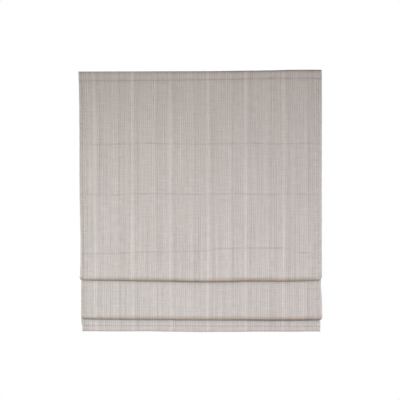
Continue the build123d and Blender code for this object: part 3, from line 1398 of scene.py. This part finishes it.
@dataclass
class RodPocket:
    """Tape folded to a tube round one rod, with the flange that is sewn to the cloth."""

    number: int
    face: float
    drop: float
    half: float = 0.472
    cloth: float = 0.0009
    layer: float = 0.0004
    radius: float = 0.0028
    across: int = 110
    rod_back: float = 0.0042
    rod_below: float = 0.009
    flange: float = 0.004

    @property
    def centre(self) -> Pair:
        """Depth and height of the rod's axis."""
        return self.face + self.rod_back, -self.drop - self.rod_below

    def section(self, x: float) -> list[Pair]:
        """Path of the tape round the rod.

        Args:
            x: place across the blind.

        Returns:
            Depths and heights from the flange's front edge round the rod to its back edge.
        """
        yc, zc = self.centre
        loose = grain(x * 34.0, self.number * 3.0, 1.0)
        radius = self.radius * (1.0 + 0.035 * loose)
        top = -self.drop + self.flange + 0.00035 * grain(x * 70.0, self.number * 3.0, 8.0)
        front = self.face + self.cloth + self.layer / 2
        path = [(front, z) for z in steps(top, zc + 0.0018, 8)]
        for angle in steps(math.pi * 1.02, math.pi * 2.83, 20):
            sag = 0.00025 * (1.0 + loose) * max(0.0, -math.sin(angle))
            path.append((yc + radius * math.cos(angle), zc + radius * math.sin(angle) - sag))
        return path + [(front + self.layer, z) for z in steps(zc + 0.0034, top - 0.0005, 7)]

    def build(self) -> bpy.types.Object:
        """Build the tape.

        Returns:
            The finished pocket.
        """
        places = steps(-self.half, self.half, self.across)
        sections = [self.section(x) for x in places]
        rows = range(len(sections[0]))
        grid = [[Vector((x, *path[row])) for x, path in zip(places, sections)] for row in rows]
        flat = [[(x, row * 0.001) for x in places] for row in rows]
        piece = sheet_from(f"pocket_tape_{self.number}", grid, {"Cloth": flat})
        thicken(piece, self.layer * 0.94)
        return piece

    def length(self) -> float:
        """Length of the tape's section when it is laid flat."""
        path = self.section(0.0)
        return sum(distance(a, b) for a, b in zip(path, path[1:]))

    def seam(self) -> SeamPath:
        """Seam on the back of the flange."""
        y = self.face + self.cloth + 2 * self.layer + 0.0001
        return [(Vector((x, y, -self.drop)), Vector((0.0, 1.0, 0.0))) for x in steps(-self.half, self.half, 40)]


@dataclass
class FasteningTape:
    """Hook or loop tape with its plain selvedges."""

    name: str
    front: float
    length: float = 0.984
    height: float = 0.025
    thickness: float = 0.0012
    top: float = -0.004
    selvedge: float = 0.0021
    sunk: float = 0.0002
    edge: float = 0.00018

    def build(self) -> bpy.types.Object:
        """Model the tape from a block: selvedges inset, field sunk, edges rounded.

        Returns:
            The finished tape.
        """
        clear_selection()
        middle = (0.0, self.front + self.thickness / 2, self.top - self.height / 2)
        bpy.ops.mesh.primitive_cube_add(size=1.0, location=middle)
        tape = bpy.context.active_object
        tape.name = self.name
        tape.scale = (self.length, self.thickness, self.height)
        settle()
        mode("EDIT")
        bpy.ops.mesh.select_mode(type="FACE")
        work = bmesh.from_edit_mesh(tape.data)
        for face in work.faces:
            face.select_set(abs(face.normal.y) > 0.9)
        bmesh.update_edit_mesh(tape.data)
        bpy.ops.mesh.inset(thickness=self.selvedge, depth=-self.sunk, use_individual=True)
        mode("OBJECT")
        round_edges(tape, self.edge, 2)
        bpy.ops.object.shade_smooth_by_angle(angle=math.radians(40.0))
        clear_selection()
        return tape


@dataclass(frozen=True)
class CordRing:
    """One moulded ring on a flat foot."""

    radius: float = 0.0050
    wire: float = 0.00118
    foot: Triple = (0.009, 0.001, 0.007)
    sunk: float = 0.0007
    step: float = 0.0014
    boss: float = 0.0011
    edge: float = 0.0004

    @cache
    def template(self) -> Template:
        """Model the ring: a stepped, rounded foot and a hoop run into it.

        Returns:
            The ring with its foot's back on the origin.
        """
        clear_selection()
        thick = self.foot[1]
        bpy.ops.mesh.primitive_cube_add(size=1.0, location=(0.0, thick / 2, 0.0))
        foot = bpy.context.active_object
        foot.scale = self.foot
        settle()
        for face in foot.data.polygons:
            face.select = face.normal.y > 0.9
        for edge in foot.data.edges:
            edge.select = False
        for point in foot.data.vertices:
            point.select = point.co.y > thick / 2
        mode("EDIT")
        bpy.ops.mesh.select_mode(type="FACE")
        bpy.ops.mesh.inset(thickness=self.step)
        bpy.ops.mesh.extrude_region_move(TRANSFORM_OT_translate={"value": (0.0, self.boss, 0.0)})
        bpy.ops.mesh.select_mode(type="VERT")
        mode("OBJECT")
        round_edges(foot, self.edge, 3)
        bpy.ops.mesh.primitive_torus_add(
            major_segments=36,
            minor_segments=12,
            major_radius=self.radius,
            minor_radius=self.wire,
            location=(0.0, thick + self.radius + self.wire - self.sunk, 0.0),
        )
        hoop = bpy.context.active_object
        settle()
        foot.select_set(True)
        bpy.context.view_layer.objects.active = hoop
        bpy.ops.object.join()
        return Template.take(hoop)


@dataclass
class CordRings:
    """Three rings sewn to one pocket."""

    pocket: RodPocket
    columns: Triple = (-0.39, 0.0, 0.39)
    ring: CordRing = CordRing()
    threads_out: Pair = (0.0030, 0.0038)
    thread_share: float = 0.62

    @property
    def seat(self) -> float:
        """Depth of the flange that the feet lie on."""
        return self.pocket.face + self.pocket.cloth + 2 * self.pocket.layer

    @property
    def level(self) -> float:
        """Height of the rings' middle."""
        return self.pocket.flange - self.pocket.drop - self.ring.foot[2] / 2

    def build(self) -> bpy.types.Object:
        """Copy the ring to its three places."""
        axes = (Vector((1.0, 0.0, 0.0)), Vector((0.0, 1.0, 0.0)), Vector((0.0, 0.0, 1.0)))
        frames = [(Vector((x, self.seat, self.level)), *axes) for x in self.columns]
        return self.ring.template().copied(f"sewn_rings_{self.pocket.number}", frames)

    def threads(self) -> list[SeamPath]:
        """Short threads that hold each foot on both sides.

        Returns:
            Seams of three points each.
        """
        out = self.seat + self.ring.foot[1] + 0.0002
        reach = self.ring.foot[2] * self.thread_share
        places = [x + side * shift for x in self.columns for side in (-1.0, 1.0) for shift in self.threads_out]
        back = Vector((0.0, 1.0, 0.0))
        return [[(Vector((x, out, self.level + z)), back) for z in (reach, 0.0, -reach)] for x in places]


# Stage


@dataclass(frozen=True)
class Lamp:
    """A soft lamp: place, aim, width and height, watts, angle to which a grid narrows its light, and colour."""

    name: str
    place: Triple
    aim: Triple
    size: Pair
    power: float
    spread: float
    colour: Triple = WHITE[:3]

    def hang(self) -> None:
        """Hang the lamp."""
        data = bpy.data.lights.new(self.name, "AREA")
        data.spread = math.radians(self.spread)
        data.shape = "RECTANGLE"
        data.size, data.size_y = self.size
        data.energy = self.power
        data.color = self.colour
        put(bpy.data.objects.new(self.name, data), self.place, self.aim)


def put(item: bpy.types.Object, place: Sequence[float], aim: Sequence[float]) -> None:
    """Put a lamp or camera at a place and turn it to a point."""
    item.location = place
    item.rotation_euler = (Vector(aim) - Vector(place)).to_track_quat("-Z", "Y").to_euler()
    bpy.context.collection.objects.link(item)


@dataclass
class Studio:
    """Floor, lights and camera."""

    distance: float = 2.9
    view_width: float = 1.653
    sensor: float = 36.0
    turn: float = 1.0
    aim: Triple = (-0.0013, -0.034, -0.5335)
    floor_level: float = -2.1
    floor_radius: float = 0.7
    floor_tones: Pair = (0.80, 0.86)
    soft_colour: Colour = (1.0, 1.0, 0.8, 1.0)
    soft_strength: float = 0.144
    lamps: tuple[Lamp, ...] = (
        Lamp("left", (-1.5, -2.1, -0.5), (-0.1, 0.0, -1.7), (0.9, 0.9), 18.3, 120.0, (0.911, 0.982, 1.0)),
        Lamp("right", (1.5, -2.1, -0.5), (0.1, 0.0, -1.7), (0.9, 0.9), 15.0, 120.0, (0.888, 0.920, 1.0)),
        Lamp("top", (0.0, -2.0, 0.7), (0.0, 0.0, -1.6), (1.1, 0.7), 4.75, 110.0, (1.0, 0.768, 0.768)),
        Lamp("rear", (0.4, 2.6, 0.5), (0.0, 0.0, -0.5), (2.0, 1.6), 75.0, 180.0),
    )

    def floor(self) -> None:
        """Lay a pale round floor well below the blind."""
        clear_selection()
        middle = (0.0, 0.0, self.floor_level)
        bpy.ops.mesh.primitive_circle_add(vertices=96, radius=self.floor_radius, fill_type="NGON", location=middle)
        floor = bpy.context.active_object
        floor.name = "studio_floor"
        settle()
        bench = Bench("studio_floor")
        cloud = bench.speckle(bench.place(), (3.0, 3.0, 0.0))
        colour = bench.around(cloud * 0.4 + 0.5, WHITE, self.floor_tones)
        floor.data.materials.append(bench.dress(Base_Color=colour, Roughness=0.9, Specular_IOR_Level=0.2))
        clear_selection()

    def lights(self) -> None:
        """Hang the lamps and set a surround that is white where it is seen and softer as light."""
        for lamp in self.lamps:
            lamp.hang()
        world = bpy.data.worlds.new("white surround")
        bpy.context.scene.world = world
        bench = NodeBench(world)
        seen = bench.node("ShaderNodeBackground", sockets={"Color": WHITE, "Strength": 1.0})
        light = {"Color": self.soft_colour, "Strength": self.soft_strength}
        soft = bench.node("ShaderNodeBackground", sockets=light)
        rays = bench.node("ShaderNodeLightPath").outputs
        share = rays["Is Camera Ray"]
        for ray in ("Is Glossy Ray", "Is Transmission Ray"):
            share = bench.node("ShaderNodeMath", {"operation": "MAXIMUM"}, {0: share, 1: rays[ray]}).outputs[0]
        blend = bench.node("ShaderNodeMixShader", sockets={0: share, 1: soft.outputs[0], 2: seen.outputs[0]})
        bench.node("ShaderNodeOutputWorld", sockets={0: blend.outputs[0]})

    def camera(self) -> None:
        """Set the camera straight in front of the blind, a touch to its right."""
        data = bpy.data.cameras.new("camera")
        data.sensor_width = self.sensor
        data.lens = self.sensor * self.distance / self.view_width
        camera = bpy.data.objects.new("camera", data)
        turn = math.radians(self.turn)
        away = Vector((self.distance * math.sin(turn), -self.distance * math.cos(turn), 0.0))
        put(camera, Vector(self.aim) + away, self.aim)
        scene = bpy.context.scene
        scene.camera = camera
        scene.view_settings.view_transform = "Standard"


# The whole blind


@dataclass
class RomanBlind:
    """All pieces of the blind and their finishes."""

    wardrobe: Wardrobe
    cloth: FoldedCloth = field(default_factory=FoldedCloth)
    faces: Row = (-0.033, -0.033, -0.033, -0.013, 0.008)
    drops: Row = (0.301, 0.510, 0.747, 0.810, 0.981)
    thread_lift: float = 0.00006
    seam_insets: Pair = (0.004, 0.02)
    pocket_pitch: float = 0.0040

    def dress_frame(self) -> None:
        """Put finishes on the solids that stay."""
        worn = {
            "batten": Skin.TIMBER,
            "screw_eyes": Skin.WIRE,
            "bottom_bar": Skin.BAR,
            "bottom_bar_end_caps": Skin.PLASTIC,
        }
        for number in range(1, len(self.drops) + 1):
            worn[f"rod_{number}"] = Skin.ROD
            worn[f"rod_end_plugs_{number}"] = Skin.PLASTIC
        for node, skin in worn.items():
            self.wardrobe.put_on(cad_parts[node], skin)
            LOG.info("dressed %s", node)

    def fit(self, piece: bpy.types.Object, skin: Skin, *nodes: str) -> None:
        """Dress a new piece and hang it with the blind, in place of the nodes it stands for."""
        self.wardrobe.put_on(piece, skin)
        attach(piece, "root")
        if nodes:
            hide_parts(*nodes)

    def hang_cloth(self) -> None:
        cloth = self.cloth
        piece = cloth.build()
        self.fit(piece, Skin.CLOTH, "blind_cloth")
        face = cloth.thickness / 2 + self.thread_lift
        marks = cloth.marks
        sewn = cloth.half - cloth.side_seam
        near, far = self.seam_insets
        front = [cloth.row_line(row, near, face) for row in (marks["heading"] - 5, marks["hem"])]
        front += [cloth.row_line(marks[f"seam_{n}"] + 2, far, face) for n in (1, 2, 3)]
        back = [cloth.row_line(marks["hem"] + 1, near, -face - cloth.thickness)]
        behind = -face - 2 * cloth.side_gap
        for side in (-sewn, sewn):
            front.append(cloth.column_line(side, marks["heading"] + 2, marks["under"], face))
            back.append(cloth.column_line(side, marks["heading"] + 9, marks["under"] - 6, behind))
        for name, lines in (("face_stitches", front), ("back_stitches", back)):
            stitches = Stitching().lay(name, lines)
            self.fit(stitches, Skin.THREAD)
        LOG.info("hung the cloth, flat %.3f by %.3f m", *cloth.flat_size)

    def back_pieces(self) -> None:
        """Build pockets, rings and their threads on the back."""
        lines: list[SeamPath] = []
        for number, (face, drop) in enumerate(zip(self.faces, self.drops), start=1):
            pocket = RodPocket(number, face, drop)
            tape = pocket.build()
            self.fit(tape, Skin.POCKET, f"rod_pocket_{number}")
            pocket.length()
            rings = CordRings(pocket)
            self.fit(rings.build(), Skin.RING, f"cord_rings_{number}")
            lines += [pocket.seam(), *rings.threads()]
            LOG.info("sewed pocket and rings %d", number)
        self.fit(Stitching().lay("pocket_stitches", lines, self.pocket_pitch), Skin.THREAD)

    def fastening(self) -> None:
        """Build the hook and loop tapes at the heading."""
        for name, node, front, lowered, skin in (
            ("hook_tape_strip", "hook_tape", -0.0312, 0.0, Skin.HOOK),
            ("loop_tape_strip", "loop_tape", -0.0324, 0.0032, Skin.LOOP),
        ):
            tape = FasteningTape(name, front, height=0.025 - lowered, top=-0.004 - lowered)
            piece = tape.build()
            self.fit(piece, skin, node)
            LOG.info("fixed %s", name)


def main() -> None:
    """Build the blind, then its stage."""
    logging.basicConfig(level=logging.INFO, format="%(message)s")
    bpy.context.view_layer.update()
    blind = RomanBlind(Wardrobe())
    blind.dress_frame()
    blind.hang_cloth()
    blind.back_pieces()
    blind.fastening()
    studio = Studio()
    studio.floor()
    studio.lights()
    studio.camera()


if __name__ == "__main__":
    main()
